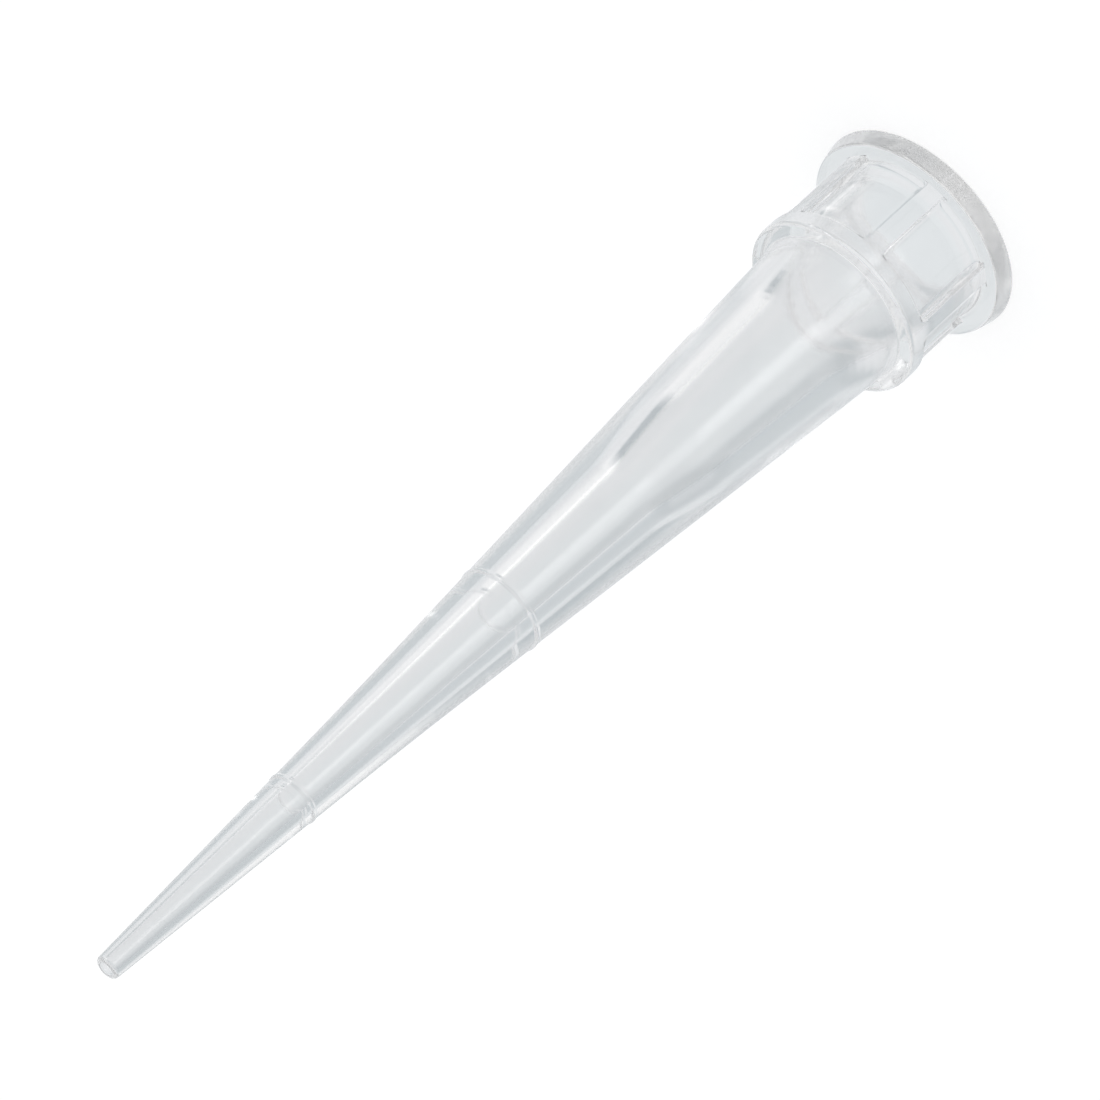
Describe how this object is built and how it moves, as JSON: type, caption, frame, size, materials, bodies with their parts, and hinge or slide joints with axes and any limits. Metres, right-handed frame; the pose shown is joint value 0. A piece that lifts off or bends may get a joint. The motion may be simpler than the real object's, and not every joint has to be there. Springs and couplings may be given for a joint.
{
  "type": "pipette tip",
  "caption": "Short clear moulded pipette tip: flanged collar with ribs and sunk windows, press-on socket, two-taper shaft with graduation beads and a fine orifice.",
  "frame": {"origin": "centre of the mouth's face, which is the lowest point of the tip as it stands on its mouth", "axes": "+Z along the tip's axis from the mouth towards the fine end; +X through the middle of one collar window"},
  "size_m": [0.0068, 0.0068, 0.034],
  "materials": {
    "clear_polypropylene": "clear, slightly hazy moulded polypropylene"
  },
  "bodies": {
    "root": {"pipette_tip": "clear_polypropylene"}
  },
  "joints": []
}
